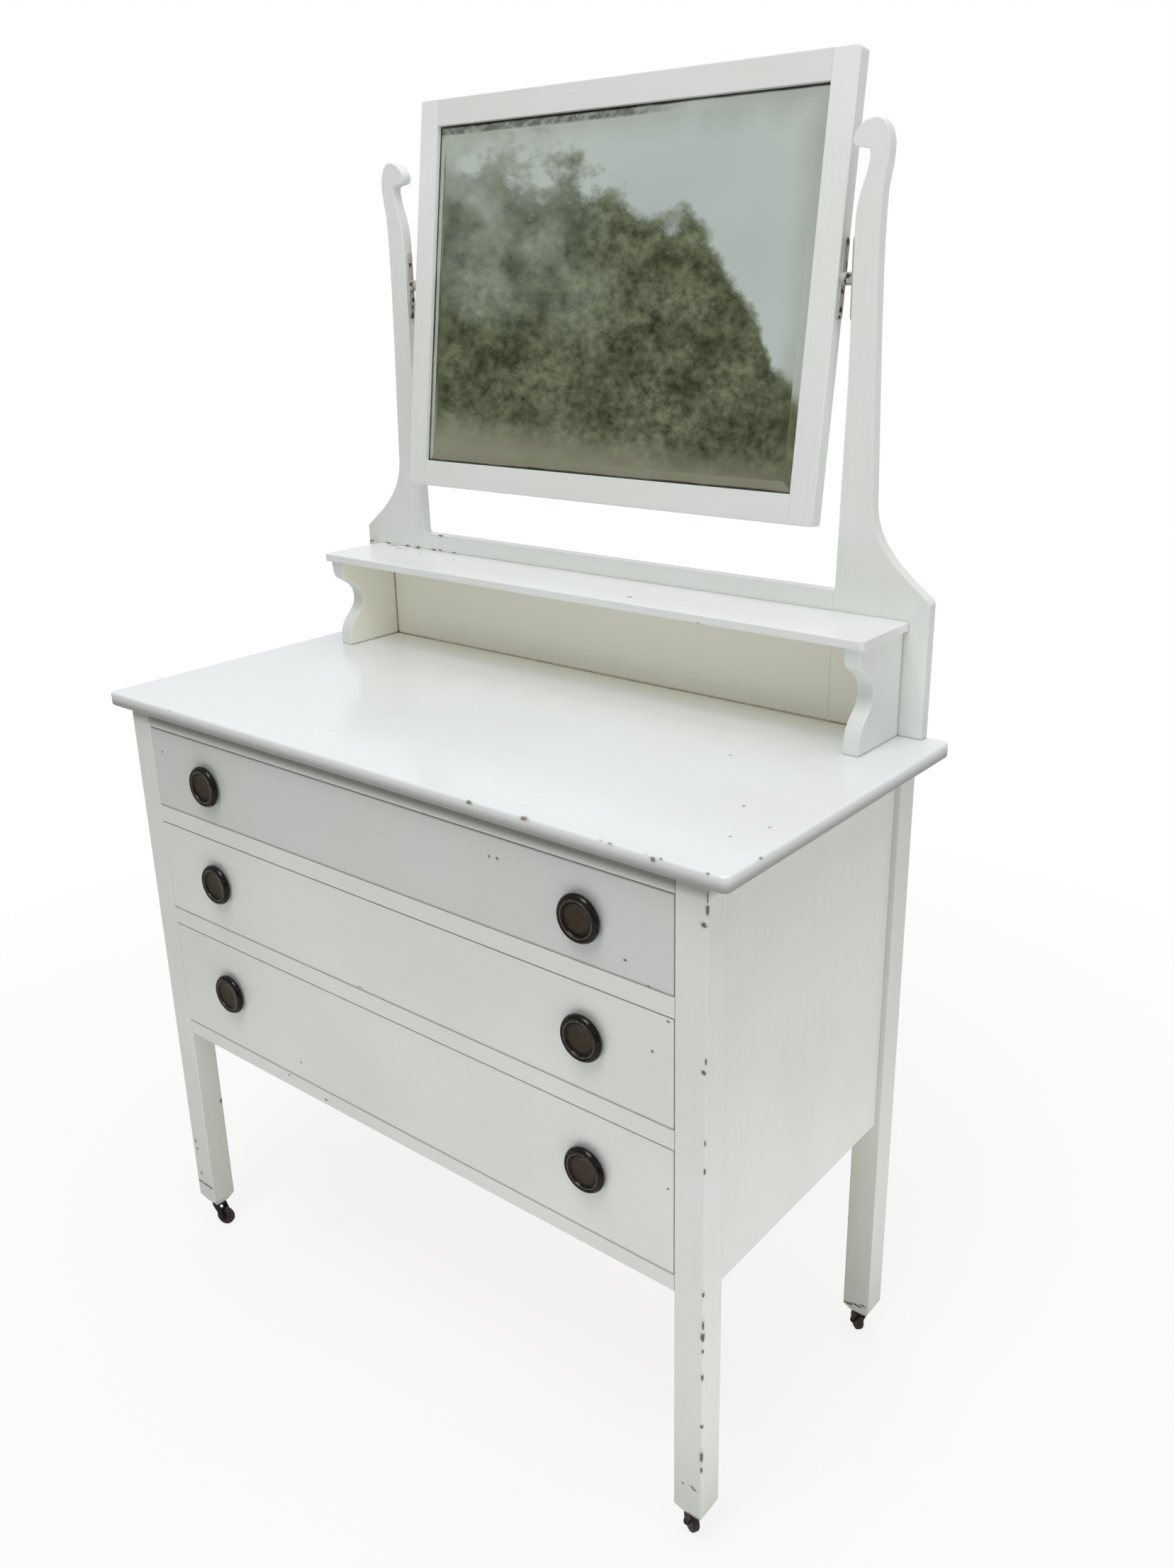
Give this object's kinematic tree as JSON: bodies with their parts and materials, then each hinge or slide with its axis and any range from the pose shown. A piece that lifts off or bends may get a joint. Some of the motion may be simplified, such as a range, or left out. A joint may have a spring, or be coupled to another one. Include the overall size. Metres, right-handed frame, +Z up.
{
  "type": "dressing table",
  "caption": "Painted dressing chest of long drawers on square legs with castors, with a raised shelf on shaped brackets and a tilting bevelled mirror between standards",
  "frame": {"origin": "on the floor under the middle of the overall footprint, knobs and leaning mirror included", "axes": "+Z up, +X to the right of someone facing the drawers, the drawers open towards -Y"},
  "size_m": [0.914, 0.4622, 1.472],
  "materials": {
    "white_paint": "wood with old off-white gloss enamel paint, chipped at the arrises",
    "bare_pine": "bare pine, aged",
    "knob_bronze": "turned metal with a dark bronze patina, worn brown in the dished middle",
    "silvered_glass": "silvered plate glass with a bevelled edge",
    "painted_plate": "iron plates painted over with the frame, chipped",
    "screw_steel": "plain steel",
    "castor_iron": "blackened iron",
    "castor_wood": "dark stained hardwood"
  },
  "bodies": {
    "case": {"leg_front_left": "white_paint", "leg_front_right": "white_paint", "leg_back_left": "white_paint", "leg_back_right": "white_paint", "side_panel_left": "white_paint", "side_panel_right": "white_paint", "back_panel": "bare_pine", "top_rail": "white_paint", "divider_upper": "white_paint", "divider_lower": "white_paint", "bottom_rail": "white_paint", "back_rail_top": "bare_pine", "back_rail_bottom": "bare_pine", "runners_left": "bare_pine", "runners_right": "bare_pine", "kickers": "bare_pine", "drawer_stops": "bare_pine", "top_board": "white_paint", "gallery_board": "white_paint", "standard_left": "white_paint", "standard_right": "white_paint", "shelf": "white_paint", "bracket_left": "white_paint", "bracket_right": "white_paint", "bracket_dowels": "bare_pine", "fixing_screws": "screw_steel", "movement_plate_left": "painted_plate", "movement_plate_right": "painted_plate", "castor_plates": "castor_iron"},
    "drawer_1": {"drawer_1_front": "white_paint", "drawer_1_sides": "bare_pine", "drawer_1_back": "bare_pine", "drawer_1_bottom": "bare_pine", "drawer_1_knobs": "knob_bronze"},
    "drawer_2": {"drawer_2_front": "white_paint", "drawer_2_sides": "bare_pine", "drawer_2_back": "bare_pine", "drawer_2_bottom": "bare_pine", "drawer_2_knobs": "knob_bronze"},
    "drawer_3": {"drawer_3_front": "white_paint", "drawer_3_sides": "bare_pine", "drawer_3_back": "bare_pine", "drawer_3_bottom": "bare_pine", "drawer_3_knobs": "knob_bronze"},
    "mirror": {"mirror_stile_left": "white_paint", "mirror_stile_right": "white_paint", "mirror_rail_top": "white_paint", "mirror_rail_bottom": "white_paint", "mirror_glass": "silvered_glass", "mirror_backing": "bare_pine", "mirror_arm_left": "painted_plate", "mirror_arm_right": "painted_plate"},
    "castor_fl": {"castor_fork_fl": "castor_iron"},
    "wheel_fl": {"castor_wheel_fl": "castor_wood"},
    "castor_fr": {"castor_fork_fr": "castor_iron"},
    "wheel_fr": {"castor_wheel_fr": "castor_wood"},
    "castor_bl": {"castor_fork_bl": "castor_iron"},
    "wheel_bl": {"castor_wheel_bl": "castor_wood"},
    "castor_br": {"castor_fork_br": "castor_iron"},
    "wheel_br": {"castor_wheel_br": "castor_wood"}
  },
  "joints": [
    {"name": "drawer_1_slide", "type": "slide", "parent": "case", "child": "drawer_1", "axis": [0, -1, 0], "range_m": [0, 0.28]},
    {"name": "drawer_2_slide", "type": "slide", "parent": "case", "child": "drawer_2", "axis": [0, -1, 0], "range_m": [0, 0.28]},
    {"name": "drawer_3_slide", "type": "slide", "parent": "case", "child": "drawer_3", "axis": [0, -1, 0], "range_m": [0, 0.28]},
    {"name": "mirror_tilt", "type": "hinge", "parent": "case", "child": "mirror", "pos_m": [0, 0.19282, 1.256], "axis": [1, 0, 0], "range_deg": [-30, 45]},
    {"name": "castor_fl_swivel", "type": "hinge", "parent": "case", "child": "castor_fl", "pos_m": [-0.4125, -0.20318, 0.034], "axis": [0, 0, 1], "continuous": true},
    {"name": "wheel_fl_roll", "type": "hinge", "parent": "castor_fl", "child": "wheel_fl", "pos_m": [-0.4031, -0.19976, 0.0125], "axis": [-0.342, 0.9397, 0], "continuous": true},
    {"name": "castor_fr_swivel", "type": "hinge", "parent": "case", "child": "castor_fr", "pos_m": [0.4125, -0.20318, 0.034], "axis": [0, 0, 1], "continuous": true},
    {"name": "wheel_fr_roll", "type": "hinge", "parent": "castor_fr", "child": "wheel_fr", "pos_m": [0.40384, -0.19818, 0.0125], "axis": [-0.5, -0.866, 0], "continuous": true},
    {"name": "castor_bl_swivel", "type": "hinge", "parent": "case", "child": "castor_bl", "pos_m": [-0.4125, 0.15882, 0.034], "axis": [0, 0, 1], "continuous": true},
    {"name": "wheel_bl_roll", "type": "hinge", "parent": "castor_bl", "child": "wheel_bl", "pos_m": [-0.4175, 0.16748, 0.0125], "axis": [-0.866, -0.5, 0], "continuous": true},
    {"name": "castor_br_swivel", "type": "hinge", "parent": "case", "child": "castor_br", "pos_m": [0.4125, 0.15882, 0.034], "axis": [0, 0, 1], "continuous": true},
    {"name": "wheel_br_roll", "type": "hinge", "parent": "castor_br", "child": "wheel_br", "pos_m": [0.40484, 0.16524, 0.0125], "axis": [-0.6428, -0.766, 0], "continuous": true}
  ]
}
